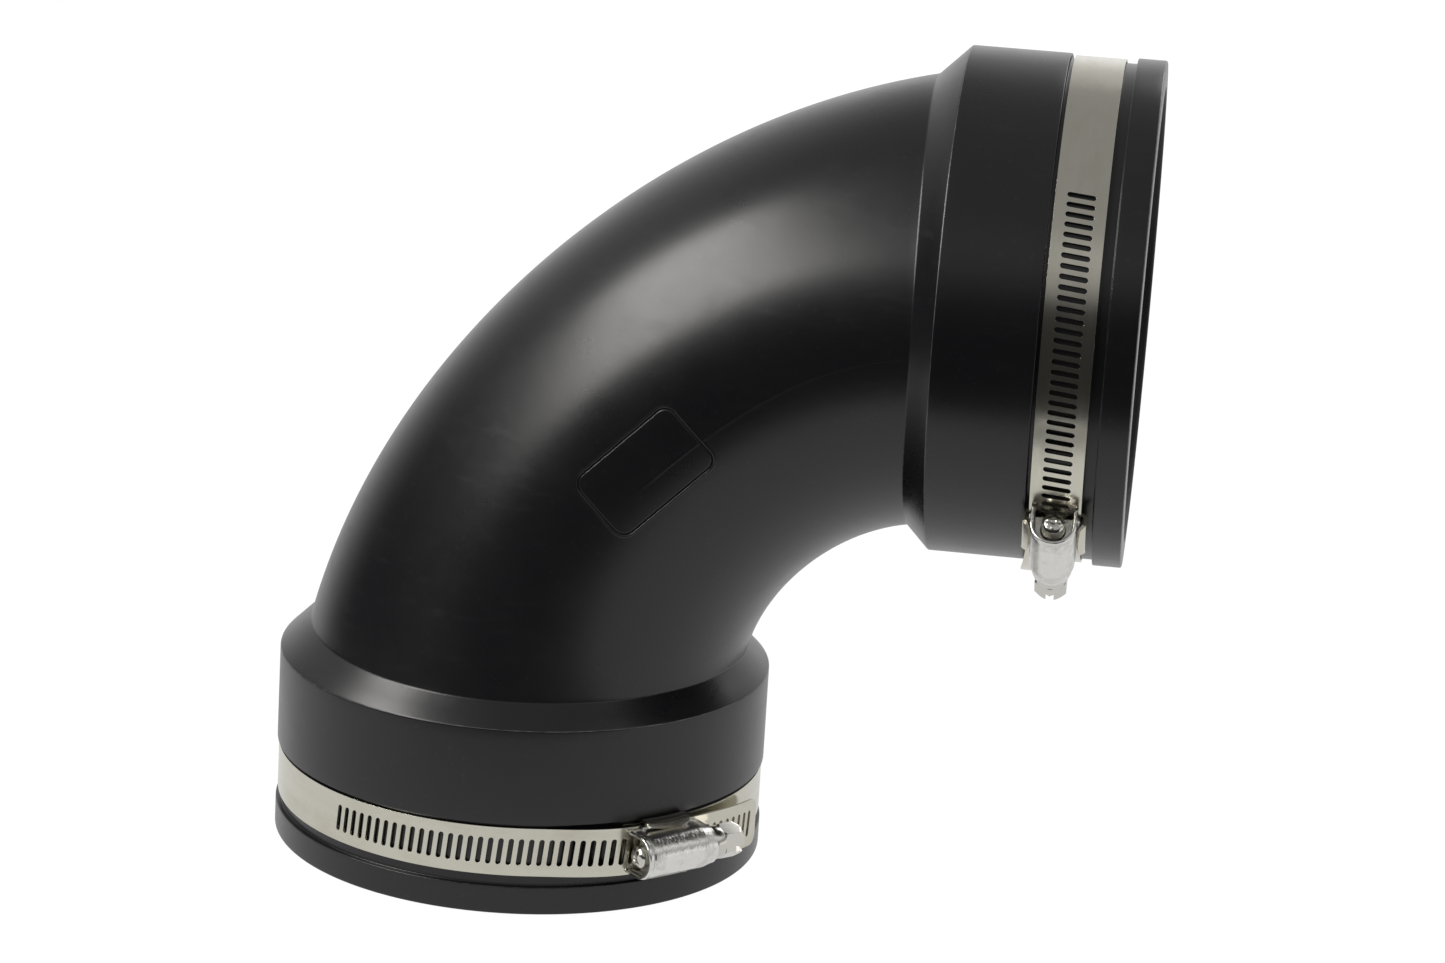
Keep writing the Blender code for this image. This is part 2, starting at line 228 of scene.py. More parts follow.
def makeRoom(values):
    world = bpy.data.worlds.new("studioRoom")
    bpy.context.scene.world = world
    world.use_nodes = True
    tree = world.node_tree
    tree.nodes.clear()
    paint = Paint(tree)

    def fade(value, key):
        first, second = values[key]
        return paint.ramp(value, (first, 0), (second, 1))

    way = paint.node("SeparateXYZ", {}, {0: paint.node("TexCoord")})
    across, ahead, high = [Wire(paint, socket) for socket in way.socket.node.outputs]
    # Dark in front of the table up to frontTop, pale behind it, fading towards the ceiling, with
    # a white board at the right
    board = fade(across, "boardFade") * (1 - fade(high, "boardTop"))
    dark = fade(0.5 - 0.5 * ahead, "frontFade") * (1 - fade(high, "frontTop")) * (1 - board)
    right = fade(across, "rightFade") * values["rightLit"]
    level = 1 - (1 - values["ceiling"]) * fade(high, "ceilingFade") * (1 - right)
    gloss = level * (1 - dark) + values["front"] * dark
    seen = paint.node("LightPath", {}, {}, "Is Camera Ray")
    strength = seen + (1 - seen) * gloss
    back = paint.node("Background", {}, {"Color": (1, 1, 1, 1), "Strength": strength})
    paint.node("OutputWorld", {}, {"Surface": back})


# Both lamps look at the same place, from so many degrees round from the front and up
lampTarget = Vector((0, 0, 0.11))
leftSoftbox = {
    "power": 14.5,
    "size": (1.12, 0.44),
    "azimuth": -62,
    "elevation": 36.5,
    "distance": 1.35,
    "roll": -29,
    "tint": (1, 0.985, 0.95),
}
backFill = {
    "power": 4,
    "size": (0.9, 0.6),
    "azimuth": 150,
    "elevation": 38,
    "distance": 1.5,
    "roll": 0,
    "tint": (1, 1, 1),
}


def makeLamp(name, values):
    lamp = bpy.data.lights.new(name, "AREA")
    lamp.shape = "RECTANGLE"
    lamp.size, lamp.size_y = values["size"]
    lamp.energy = values["power"]
    lamp.color = values["tint"]
    item = bpy.data.objects.new(name, lamp)
    turn = radians(values["azimuth"])
    rise = radians(values["elevation"])
    away = Vector((sin(turn) * cos(rise), -cos(turn) * cos(rise), sin(rise)))
    facing = away.to_track_quat("Z", "Y").to_matrix().to_4x4()
    facing = facing @ Matrix.Rotation(radians(values["roll"]), 4, "Z")
    item.matrix_world = Matrix.Translation(lampTarget + values["distance"] * away) @ facing
    bpy.context.scene.collection.objects.link(item)
    item.visible_camera = False


bpy.context.scene.view_settings.view_transform = "Standard"
placeCamera(viewpoint)
makeTable(table)
makeRoom(room)
makeLamp("leftSoftbox", leftSoftbox)
makeLamp("backFill", backFill)
print("camera, table, room and lamps placed")

# Mesh helpers


def newPiece(name, points, faces, material, smoothAngle=32):
    mesh = bpy.data.meshes.new(name)
    mesh.from_pydata(points, [], faces)
    mesh.shade_smooth()
    mesh.set_sharp_from_angle(angle=radians(smoothAngle))
    mesh.materials.append(material)
    item = bpy.data.objects.new(name, mesh)
    bpy.context.scene.collection.objects.link(item)
    return item


def markPlaces(item, places):
    # Keeps each point's own place, so that a finish can follow the metal and not the room
    store = item.data.attributes.new("place", "FLOAT_VECTOR", "POINT")
    store.data.foreach_set("vector", [number for place in places for number in place])


def turnOutwards(item):
    shell = bmesh.new()
    shell.from_mesh(item.data)
    bmesh.ops.recalc_face_normals(shell, faces=shell.faces)
    shell.to_mesh(item.data)
    shell.free()


def ringFaces(rows, columns, rowsClose=False, columnsClose=True):
    faces = []
    for row in range(rows if rowsClose else rows - 1):
        above = (row + 1) % rows
        for column in range(columns if columnsClose else columns - 1):
            beside = (column + 1) % columns
            faces.append((row * columns + column, row * columns + beside,
                          above * columns + beside, above * columns + column))
    return faces


def roundEdges(item, width, segments=2, angle=38):
    bevel = item.modifiers.new("rounded edges", "BEVEL")
    bevel.width = width
    bevel.segments = segments
    bevel.limit_method = "ANGLE"
    bevel.angle_limit = radians(angle)
    bevel.harden_normals = True


def ease(amount):
    amount = min(max(amount, 0), 1)
    return amount * amount * (3 - 2 * amount)


def roundedCorner(before, corner, after, reach, steps):
    # Points of a soft bend that takes the place of a sharp corner
    back = before - corner
    onwards = after - corner
    first = corner + back.normalized() * min(reach, 0.45 * back.length)
    last = corner + onwards.normalized() * min(reach, 0.45 * onwards.length)
    points = []
    for step in range(steps + 1):
        share = step / steps
        points.append((1 - share) ** 2 * first + 2 * share * (1 - share) * corner + share ** 2 * last)
    return points


# Soft elbow

elbowLow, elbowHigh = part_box("elbow_body")
elbowSizes = {
    "collarRadius": elbowHigh.y,
    "legToCorner": elbowHigh.z - elbowHigh.y,
    "boreRadius": 0.05715,
    "collarLength": 0.0490,
    "lipLength": 0.0075,
    "faceLean": 0.00022,     # the end face falls back a little towards its rim
    "grooveEnd": 0.0241,
    "grooveFloor": 0.0626,
    "socketDepth": 0.0445,
    "tubeEndRadius": 0.0597,
    "tubeMiddleRadius": 0.05176,
    "tubeWall": 0.0060,
    "tubeWiden": 1.030,      # the tube is a little wider across the bend than in its plane
    "bendStart": 0.0362,
    "bendHandle": 0.0600,
    "lipRound": 0.00050,
    "collarEdgeRound": 0.00026,
    "chamferEdgeRound": 0.00040,
    "creaseRound": 0.00040,
    "grooveRound": 0.0003,
    "columns": 200,
    "tubeSteps": 96,
    "passageSteps": 36,
    "seamHeight": 0.00006,
    "seamHalfWidth": 0.00028,
    "seamShift": 4,          # degrees that the seam strays to the inner side in mid bend
    "panelMiddle": (0.0358, 0.1157),       # X and Z from the lower socket's axis
    "panelHalfLength": 0.0157,
    "panelHalfWidth": 0.0095,
    "panelCorner": 0.0032,
    "panelDepth": 0.00010,
    "rutDepth": 0.00050,
    "rutHalfWidth": 0.00028,
    "rutLip": 0.00006,
    "panelReach": 0.0022,    # faces this near the plate are made finer
}
# The lower socket's axis stands here in the part's own frame
socketAxis = Vector((elbowLow.x + elbowSizes["collarRadius"], 0, 0))

pvcLooks = {
    "black": (0.0066, 0.0066, 0.0080, 1),
    # Near-black painted shade for the walls of the plate's rut and, less strongly, inside the bore
    "shadedRut": (0.0010, 0.0010, 0.0010, 1),
    "scuff": (0.21, 0.21, 0.205, 1),
    "dust": (0.055, 0.055, 0.056, 1),
    "dustShare": 0.30,
    "smearShare": 0.06,
    "rubbedShare": 0.65,
    "roughness": 0.28,
    "specular": 0.5,
    "peelDepth": 0.000010,
    "grainDepth": 0.000006,
}


def makePvc(values):
    material, paint = newPaint("softPvc", 0, values["roughness"], values["specular"])
    place = paint.node("TexCoord", {}, {}, "Object")
    patches = paint.grain(place, 22, 4, 0.6)
    cloud = paint.grain(place, 120, 5, 0.65)
    fine = paint.grain(place, 1500, 3, 0.6)
    peel = paint.grain(place, 420, 2, 0.5)
    specks = paint.ramp(paint.grain(place, 900, 1, 0.4), (0.70, 0), (0.78, 1))
    smear = paint.ramp(paint.grain(paint.scaled(place, (1, 1, 5)), 60, 6, 0.7), (0.56, 0), (0.80, 1))
    # Rubbed pale where the edge mark is above nothing, which is real wear; where it is below nothing the colour
    # is painted shade, near black and dull, in the plate's rut and inside the bore
    wearShadeMark = paint.node("Attribute", {"attribute_name": "edge"}, {}, "Fac")
    broken = paint.grain(place, 260, 3, 0.7)
    rubbed = paint.ramp(wearShadeMark * (0.45 + 0.9 * broken), (0.62, 0), (0.98, 1))
    # Painted shade: the mark below nothing turns the rut's walls near black and darkens the bore
    shadedRut = paint.ramp(0 - wearShadeMark, (0.05, 0), (0.5, 1))
    dusty = values["dustShare"] * specks * patches + values["smearShare"] * smear
    colour = paint.blend(dusty, values["black"], values["dust"])
    colour = paint.blend(values["rubbedShare"] * rubbed, colour, values["scuff"])
    colour = paint.blend(shadedRut, colour, values["shadedRut"])
    roughness = values["roughness"] - 0.05 + 0.12 * patches + 0.08 * (cloud - 0.5)
    roughness = roughness + 0.06 * smear + 0.5 * shadedRut
    normal = paint.bump(fine, values["grainDepth"], paint.bump(peel, values["peelDepth"]))
    connect(material, colour=colour, roughness=roughness, normal=normal)
    return material


def bendFrame(values, t):
    # Place and heading on the bend's middle line
    start = Vector((0, 0, values["bendStart"]))
    leave = start + Vector((0, 0, values["bendHandle"]))
    finish = Vector((values["legToCorner"] - values["bendStart"], 0, values["legToCorner"]))
    arrive = finish - Vector((values["bendHandle"], 0, 0))
    s = 1 - t
    place = s ** 3 * start + 3 * s * s * t * leave + 3 * s * t * t * arrive + t ** 3 * finish
    heading = s * s * (leave - start) + 2 * s * t * (arrive - leave) + t * t * (finish - arrive)
    return place, heading.normalized()


def tubePoint(values, t, angle, wall=0.0):
    place, heading = bendFrame(values, t)
    sideways = Vector((0, 1, 0))
    swell = values["tubeMiddleRadius"] - values["tubeEndRadius"]
    radius = values["tubeEndRadius"] + swell * 4 * t * (1 - t) - wall
    widened = values["tubeWiden"] * sin(angle) * sideways
    return place + radius * (cos(angle) * sideways.cross(heading) + widened)


def crossing(values, angle, wall, isPast):
    low, high = 0, 0.5
    for _ in range(36):
        middle = (low + high) / 2
        if isPast(tubePoint(values, middle, angle, wall)):
            high = middle
        else:
            low = middle
    return high


def mirrored(values, point):
    # From the lower leg to the same place on the side leg
    return Vector((values["legToCorner"] - point.z, point.y, values["legToCorner"] - point.x))


def legProfile(values):
    # Distance from the end face, radius and wear at each stop on the outside of a leg
    collar = values["collarRadius"]
    soft = values["lipRound"]
    edge = values["collarEdgeRound"]
    lip = values["lipLength"]
    stops = []

    def corner(distance, radius, intoDistance, intoRadius, reach, wearShadeLevel):
        middle = Vector((distance, radius))
        bend = roundedCorner(Vector(intoDistance), middle, Vector(intoRadius), reach, 5)
        stops.extend((spot.x, spot.y, wearShadeLevel * (1 - abs(index / 2.5 - 1))) for index, spot in enumerate(bend))

    floor = values["grooveFloor"]
    end = values["grooveEnd"]
    corner(values["faceLean"], collar, (0, values["boreRadius"] + 0.001), (0.01, collar), soft, 1.25)
    stops.extend((distance, collar, 0) for distance in (0.0025, 0.0042, 0.0058))
    corner(lip, collar, (0, collar), (lip, floor), edge, 0.9)
    corner(lip, floor, (lip, collar), (end, floor), values["grooveRound"], 0)
    corner(end, floor, (lip, floor), (end, collar), values["grooveRound"], 0)
    corner(end, collar, (end, floor), (end + 0.01, collar), edge, 0.9)
    span = values["collarLength"] - end
    stops.extend((end + span * share, collar, 0) for share in (0.12, 0.3, 0.5, 0.7, 0.88))
    return stops


def seamLift(values, t, angle):
    # A thin ridge where the mould's halves met, a little to the inner side in mid bend
    for middle in (-pi / 2, pi / 2):
        shift = radians(values["seamShift"]) * ease(1 - abs(2 * t - 1) / 0.7) * (1 if middle < 0 else -1)
        apart = abs((angle - middle - shift + pi) % (2 * pi) - pi) * values["tubeMiddleRadius"]
        if apart < 3 * values["seamHalfWidth"]:
            height = values["seamHeight"] * (1 - ease(apart / (2 * values["seamHalfWidth"])))
            # Rubbed flat on the lower half of the bend's near side
            return height * (0.15 + 0.85 * ease((t - 0.46) / 0.05)) if middle < 0 else height
    return 0


def ringSpot(angle, distance, radius):
    return Vector((radius * cos(angle), radius * sin(angle), distance))


def tubeStops(start, steps):
    return [start + (1 - 2 * start) * step / steps for step in range(steps + 1)]


def outsideLine(values, profile, angle):
    # End lip, collar, chamfer, crease and tube at one angle, then the same back on the side leg
    collar = values["collarRadius"]
    cone = collar + values["collarLength"]      # the chamfer is part of a 45 degree cone
    start = crossing(values, angle, 0, lambda p: Vector((p.x, p.y)).length > cone - p.z)
    crease = tubePoint(values, start, angle)
    edge = ringSpot(angle, values["collarLength"], collar)
    half = [(ringSpot(angle, distance, radius), wearShadeMark, None) for distance, radius, wearShadeMark in profile]
    below = ringSpot(angle, 0.04, collar)
    for index, point in enumerate(roundedCorner(below, edge, crease, values["chamferEdgeRound"], 4)):
        half.append((point, 1 - abs(index / 2 - 1), None))
    reach = min(values["creaseRound"], 0.4 * (crease - edge).length)
    step = reach / (tubePoint(values, start + 0.001, angle) - crease).length * 0.001
    landing = start + step
    after = tubePoint(values, landing, angle)
    bend = roundedCorner(edge, crease, crease + (after - crease) * 3, reach, 6)
    half.append((edge.lerp(bend[0], 0.5), 0, None))
    half.extend((point, 0, None) for point in bend[:-1])
    line = half + [(tubePoint(values, t, angle), 0, t) for t in tubeStops(landing, values["tubeSteps"])]
    return line + [(mirrored(values, point), wearShadeMark, None) for point, wearShadeMark, _ in reversed(half)]


def insidePoints(values, angle):
    # A softened mouth, the socket, its stop shoulder and the passage, from mouth to mouth
    bore = values["boreRadius"]
    wall = values["tubeWall"]
    stops = [(0, bore + 0.0007), (0.0002, bore + 0.0002), (0.0007, bore)]
    stops += [(values["socketDepth"] * share, bore) for share in (0.25, 0.5, 0.75, 0.97, 1)]
    socket = [ringSpot(angle, distance, radius) for distance, radius in stops]
    start = crossing(values, angle, wall, lambda p: p.z > values["socketDepth"])
    passage = [tubePoint(values, t, angle, wall) for t in tubeStops(start, values["passageSteps"])]
    return socket + passage + [mirrored(values, point) for point in reversed(socket)]


def makeElbow(values, material):
    count = values["columns"]
    angles = [2 * pi * step / count for step in range(count)]
    profile = legProfile(values)
    lines = []
    for angle in angles:
        line = outsideLine(values, profile, angle)
        passage = insidePoints(values, angle)
        # Painted shade inside the bore, half as strong as in the plate's rut
        line.append((passage[-1], 0, None))
        line += [(point, -0.3, None) for point in reversed(passage[1:-1])]
        line.append((passage[0], 0, None))
        lines.append(line)
    rows = len(lines[0])
    points = []
    marks = []
    for row in range(rows):
        for line, angle in zip(lines, angles):
            point, wearShadeMark, t = line[row]
            points.append(point)
            marks.append((wearShadeMark, -1 if t is None else t, angle))
    item = newPiece("softElbow", points, ringFaces(rows, count, True, True), material, 50)
    turnOutwards(item)
    finishElbow(item, values, marks)
    item.data.transform(Matrix.Translation(socketAxis))
    return item


def panelDepthAt(values, point):
    # How far a point sinks into the sunken plate on the bend's side
    along = Vector((1, 0, 1)).normalized()
    across = Vector((1, 0, -1)).normalized()
    off = point - Vector((values["panelMiddle"][0], point.y, values["panelMiddle"][1]))
    corner = values["panelCorner"]
    x = abs(off.dot(along)) - values["panelHalfLength"] + corner
    y = abs(off.dot(across)) - values["panelHalfWidth"] + corner
    outside = Vector((max(x, 0), max(y, 0))).length + min(max(x, y), 0) - corner
    half = values["rutHalfWidth"]
    # The rut's profile, which also sets where shade is painted on its walls
    shadedRut = ease(1.25 - 1.25 * abs(outside) / half)
    raised = values["rutLip"] * ease(1 - abs(outside - 2 * half) / half)
    depth = values["panelDepth"] * (1 - ease(outside / half)) + values["rutDepth"] * shadedRut - raised
    return depth, outside, shadedRut


def finishElbow(item, values, marks):
    # Finer faces round the sunken plate and the seam, then both are raised or sunk. Each point
    # keeps its mark (wear above nothing, painted shade below), its place along the tube, below nothing off it,
    # and its angle
    mesh = bmesh.new()
    mesh.from_mesh(item.data)
    wearShadeLevel = mesh.verts.layers.float.new("edge")
    lane = mesh.verts.layers.float.new("lane")
    turn = mesh.verts.layers.float.new("turn")
    for vertex, (wearShadeMark, t, angle) in zip(mesh.verts, marks):
        vertex[wearShadeLevel] = wearShadeMark
        vertex[lane] = t
        vertex[turn] = angle
    front = []
    seam = set()
    for face in mesh.faces:
        if any(vertex[lane] < 0 for vertex in face.verts):
            continue
        middle = face.calc_center_median()
        if middle.y < 0 and panelDepthAt(values, middle)[1] < values["panelReach"]:
            front.append(face)
    edges = list({edge for face in front for edge in face.edges})
    bmesh.ops.subdivide_edges(mesh, edges=edges, cuts=7, use_grid_fill=True)
    for face in mesh.faces:
        if all(vertex[lane] >= 0 for vertex in face.verts):
            spread = [vertex[turn] for vertex in face.verts]
            middle = sum(spread) / len(spread)
            side = min(abs(middle - pi / 2), abs(middle - 3 * pi / 2))
            if side < radians(6) and face.calc_area() > 1.0e-6:
                seam.update(edge for edge in face.edges
                            if abs(edge.verts[0][turn] - edge.verts[1][turn]) > radians(0.5))
    bmesh.ops.subdivide_edges(mesh, edges=list(seam), cuts=5)
    for vertex in mesh.verts:
        t = vertex[lane]
        angle = vertex[turn]
        if t < 0:
            continue
        middle = bendFrame(values, t)[0]
        outward = tubePoint(values, t, angle) - middle
        point = middle + outward
        lift = seamLift(values, t, angle)
        if point.y < 0:
            sunk, _, shadedRut = panelDepthAt(values, point)
            lift -= sunk
            # The rut's walls are marked for painted shade
            vertex[wearShadeLevel] = -shadedRut
        vertex.co = point + outward * (lift / outward.length)
    mesh.to_mesh(item.data)
    mesh.free()


pvc = makePvc(pvcLooks)
elbow = makeElbow(elbowSizes, pvc)
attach(elbow, "elbow")
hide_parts("elbow_body")
print("elbow built:", len(elbow.data.polygons), "faces")

# Clamps. Each is built in its own frame: Z along the collar, X out through its housing's
# middle and Y the way its worm screw points


def clampFrame(prefix):
    turning = joints[prefix + "_clamp_turns"]
    screw = joints[prefix + "_screw_turns"]
    middle = Vector(turning["pos_m"])
    axis = Vector(turning["axis"]).normalized()
    out = Vector(screw["pos_m"]) - middle
    out = (out - axis * out.dot(axis)).normalized()
    return Matrix.Translation(middle) @ Matrix((out, axis.cross(out), axis)).transposed().to_4x4()


def intoPlace(item, prefix, body, node):
    item.data.transform(clampFrame(prefix))
    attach(item, body)
    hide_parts(node)


steelLooks = {
    "band": (0.64, 0.62, 0.54, 1),
    "bandDull": (0.40, 0.375, 0.285, 1),
    "bandRoughness": 0.155,
    "bandDentDepth": 0.00010,
    "bandGrainDepth": 0.0000016,
    "housing": (0.78, 0.77, 0.745, 1),
    "housingDull": (0.42, 0.41, 0.375, 1),
    "housingRoughness": 0.17,
    "screw": (0.66, 0.645, 0.605, 1),
    "screwDull": (0.36, 0.33, 0.26, 1),
    "screwRoughness": 0.13,
    "rippleDepth": 0.00016,
    "dentDepth": 0.00006,
}


def makeBandSteel(values):
    material, paint = newPaint("bandSteel", 1, values["bandRoughness"])
    place = paint.node("Attribute", {"attribute_name": "place"}, {}, "Vector")
    drawn = paint.grain(paint.scaled(place, (30, 3200, 400)), 1, 4, 0.6)
    wide = paint.grain(paint.scaled(place, (22, 300, 100)), 1, 3, 0.6)
    cloud = paint.grain(paint.scaled(place, (70, 130, 100)), 1, 5, 0.65)
    stain = paint.ramp(cloud, (0.48, 0), (0.80, 1))
    speck = paint.ramp(paint.grain(place, 1700, 1, 0.4), (0.72, 0), (0.80, 1))
    dull = 0.30 * stain + 0.25 * wide + 0.25 * speck
    colour = paint.blend(dull, values["band"], values["bandDull"])
    roughness = values["bandRoughness"] - 0.07 + 0.12 * drawn + 0.10 * wide + 0.06 * stain
    dents = paint.bump(paint.grain(paint.scaled(place, (45, 90, 45)), 1, 2, 0.5), values["bandDentDepth"])
    normal = paint.bump(drawn, values["bandGrainDepth"], dents)
    connect(material, colour=colour, roughness=roughness, normal=normal)
    return material


def makePressedSteel(values, name, key):
    material, paint = newPaint(name, 1, values[key + "Roughness"])
    place = paint.node("Attribute", {"attribute_name": "place"}, {}, "Vector")
    cloud = paint.grain(place, 260, 4, 0.6)
    fine = paint.grain(place, 2600, 2, 0.6)
    drawn = paint.grain(paint.scaled(place, (900, 60, 900)), 1, 3, 0.6)
    stain = paint.ramp(cloud, (0.48, 0), (0.80, 1))
    colour = paint.blend(0.65 * stain + 0.20 * drawn, values[key], values[key + "Dull"])
    roughness = values[key + "Roughness"] - 0.06 + 0.14 * cloud + 0.06 * fine
    ripple = paint.grain(paint.scaled(place, (480, 1700, 480)), 1, 3, 0.6)
    normal = paint.bump(ripple, values["rippleDepth"], paint.bump(cloud, values["dentDepth"]))
    connect(material, colour=colour, roughness=roughness, normal=normal)
    return material


# Sizes that every piece of a clamp is built from, the same as the solids' own
clampSizes = {
    "bandWidth": 0.0127,
    "bandThickness": 0.00065,
    "bandInner": 0.0629,
    "raisedInner": 0.06495,
    "saddleInner": 0.06385,
    "housingFoot": 0.0659,
    "wormHeight": 0.0697,
    "housingLength": 0.0215,
    "archInner": 0.0048,
    "wall": 0.0008,
    "gap": 0.0003,
}
clampSizes["housingTurn"] = asin(clampSizes["housingLength"] / 2 / clampSizes["saddleInner"])


def bowed(radius, along):
    # A ring of this radius falls away along the housing, which is straight
    return sqrt(radius * radius - along * along)


bandSizes = {
    "slotPitch": 0.00264,
    "slotLength": 0.0070,
    "slotWidth": 0.00135,
    "slotSlant": 6,          # degrees
    "slottedTurn": 112,
    "slottedBefore": {"lower": 81, "side": 82.7},
    "tailLift": 0.0014,
    "tailDrop": 0.0032,
    "tailCurve": 1.2,
    "tailCorner": 0.0030,
    "rampAngle": 21,
    "plainSteps": 150,
    "edgeRound": 0.00011,
}


def makeBand(prefix, clamp, values, material, seed):
    points = []
    places = []
    faces = []
    raised = clamp["raisedInner"]
    reach = clamp["housingTurn"]
    before = radians(values["slottedBefore"][prefix])
    tail = radians(values["slottedTurn"]) - before
    rampAngle = radians(values["rampAngle"])

    def add(angle, across):
        # One turn in the groove, a ramp over the saddle, then a tail that springs off askew
        ramp = ease((angle - 2 * pi + reach + rampAngle) / rampAngle)
        spring = ease((angle - 2 * pi - reach) / tail)
        radius = clamp["bandInner"] + (raised - clamp["bandInner"]) * ramp + values["tailLift"] * spring
        drop = values["tailDrop"] * (max(angle - 2 * pi, 0) / (reach + tail)) ** values["tailCurve"]
        points.append((radius * cos(angle), radius * sin(angle), across - drop))
        places.append((angle * raised + seed, across, 0))
        return len(points) - 1

    half = clamp["bandWidth"] / 2
    pitchAngle = values["slotPitch"] / (raised + clamp["bandThickness"] / 2)
    slotsFrom = 2 * pi - before
    slotCount = round(radians(values["slottedTurn"]) / pitchAngle)
    edge = [add(-reach, across) for across in (-half, half)]
    for step in range(1, values["plainSteps"] + 1):
        angle = -reach + (slotsFrom + reach) * step / values["plainSteps"]
        after = [add(angle, across) for across in (-half, half)]
        faces.append((edge[0], after[0], after[1], edge[1]))
        edge = after
    # A slot is a straight-sided hole with half round ends, leaning with the worm's thread
    halfSlot = values["slotLength"] / 2
    slotRound = values["slotWidth"] / 2
    ends = [pi * step / 8 for step in range(9)]
    outline = [(slotRound * cos(turn), halfSlot - slotRound + slotRound * sin(turn)) for turn in ends]
    outline += [(-slotRound * cos(turn), -halfSlot + slotRound - slotRound * sin(turn)) for turn in ends]
    lean = tan(radians(values["slotSlant"]))
    for count in range(slotCount):
        middle = slotsFrom + (count + 0.5) * pitchAngle
        hole = [add(middle + (along + across * lean) / raised, across) for along, across in outline]
        after = [add(middle + pitchAngle / 2, across) for across in (-half, half)]
        top, foot = hole[:9], hole[9:]
        faces.append((after[0], after[1], top[0], foot[-1]))
        faces.append((edge[1], edge[0], foot[0], top[-1]))
        for index in range(4):
            faces.append((after[1], top[index + 1], top[index]))
            faces.append((edge[1], top[8 - index], top[7 - index]))
            faces.append((edge[0], foot[index + 1], foot[index]))
            faces.append((after[0], foot[8 - index], foot[7 - index]))
        faces.append((edge[1], top[4], after[1]))
        faces.append((after[0], foot[4], edge[0]))
        edge = after
    last = slotsFrom + slotCount * pitchAngle
    corner = values["tailCorner"]
    for step in range(1, 9):
        turn = pi / 2 * step / 8
        inset = corner * (1 - cos(turn))
        after = [add(last + corner * sin(turn) / raised, side * (half - inset)) for side in (-1, 1)]
        faces.append((edge[0], after[0], after[1], edge[1]))
        edge = after
    item = newPiece(prefix + "SlottedBand", points, faces, material, 35)
    markPlaces(item, places)
    sheet = item.modifiers.new("sheet thickness", "SOLIDIFY")
    sheet.thickness = clamp["bandThickness"]
    sheet.offset = 1
    sheet.use_even_offset = True
    roundEdges(item, values["edgeRound"])
    return item


def sheetOutline(path, thickness):
    # Both faces of a bent sheet, from the line through its middle
    sides = ([], [])
    for index, point in enumerate(path):
        before = path[max(index - 1, 0)]
        after = path[min(index + 1, len(path) - 1)]
        heading = (after - before).normalized()
        across = Vector((-heading.y, heading.x)) * thickness / 2
        sides[0].append(point + across)
        sides[1].append(point - across)
    return sides[0] + sides[1][::-1]


def bentPath(corners, reaches, steps=5):
    path = [corners[0]]
    for index in range(1, len(corners) - 1):
        before = path[-1]
        path += roundedCorner(before, corners[index], corners[index + 1], reaches[index - 1], steps)
    return path + [corners[-1]]


def sweptPiece(name, rings, material, smoothAngle):
    # A skin over rings of points, closed at both ends
    size = len(rings[0])
    points = [point for ring in rings for point in ring]
    faces = ringFaces(len(rings), size)
    faces.append(tuple(range(size)))
    faces.append(tuple(range(len(points) - size, len(points))))
    item = newPiece(name, points, faces, material, smoothAngle)
    turnOutwards(item)
    markPlaces(item, points)
    return item


saddleSizes = {
    "length": 0.0130,
    "thickness": 0.0008,
    "earClearance": 0.0006,
    "earKnee": 0.0670,       # the ears stand up this far, then fold in over the housing's flanges
    "earTip": 0.0686,
    "earFlare": 0.0003,
    "footBend": 0.0011,
    "earBend": 0.0012,
    "tipBow": 0.0007,
    "tipCorner": 0.0012,
    "edgeRound": 0.00012,
    "steps": 24,
}


def makeSaddle(prefix, clamp, values, material):
    thick = values["thickness"]
    side = clamp["bandWidth"] / 2 + values["earClearance"] + thick / 2
    floor = clamp["saddleInner"] + thick / 2
    knee = Vector((side + values["earFlare"], values["earKnee"]))
    end = Vector((clamp["archInner"] + clamp["wall"] + clamp["gap"], values["earTip"]))
    length = values["length"]
    corner = values["tipCorner"]
    rings = []
    for step in range(values["steps"] + 1):
        along = length * (step / values["steps"] - 0.5)
        over = max(abs(along) - (length / 2 - corner), 0)
        short = values["tipBow"] * (2 * along / length) ** 2
        short += corner - sqrt(max(corner * corner - over * over, 0))
        tip = end - (end - knee).normalized() * short
        corners = [Vector((0, floor)), Vector((side, floor)), knee, tip]
        half = bentPath(corners, (values["footBend"], values["earBend"]))
        path = [Vector((-point.x, point.y)) for point in reversed(half[1:])] + half
        rings.append([(bowed(point.y, along), along, point.x) for point in sheetOutline(path, thick)])
    item = sweptPiece(prefix + "FoldedSaddle", rings, material, 40)
    roundEdges(item, values["edgeRound"], 2, 42)
    return item


housingSizes = {
    "taper": 0.0006,
    "taperLength": 0.0040,
    "flangeClear": 0.0035,
    "rimWidth": 0.0012,
    "rimBead": ((0, 0.35), (0.00005, 0.70), (0.00014, 1.00), (0.00030, 1.22), (0.0006, 1.30)),
    "rimGroove": 0.00028,
    "webDepth": 0.0034,
    "webThickness": 0.0009,
    "pilotRadius": 0.00285,
    "neckRadius": 0.0030,
    "footBend": 0.0009,
    "archSteps": 28,
    "edgeRound": 0.00012,
}


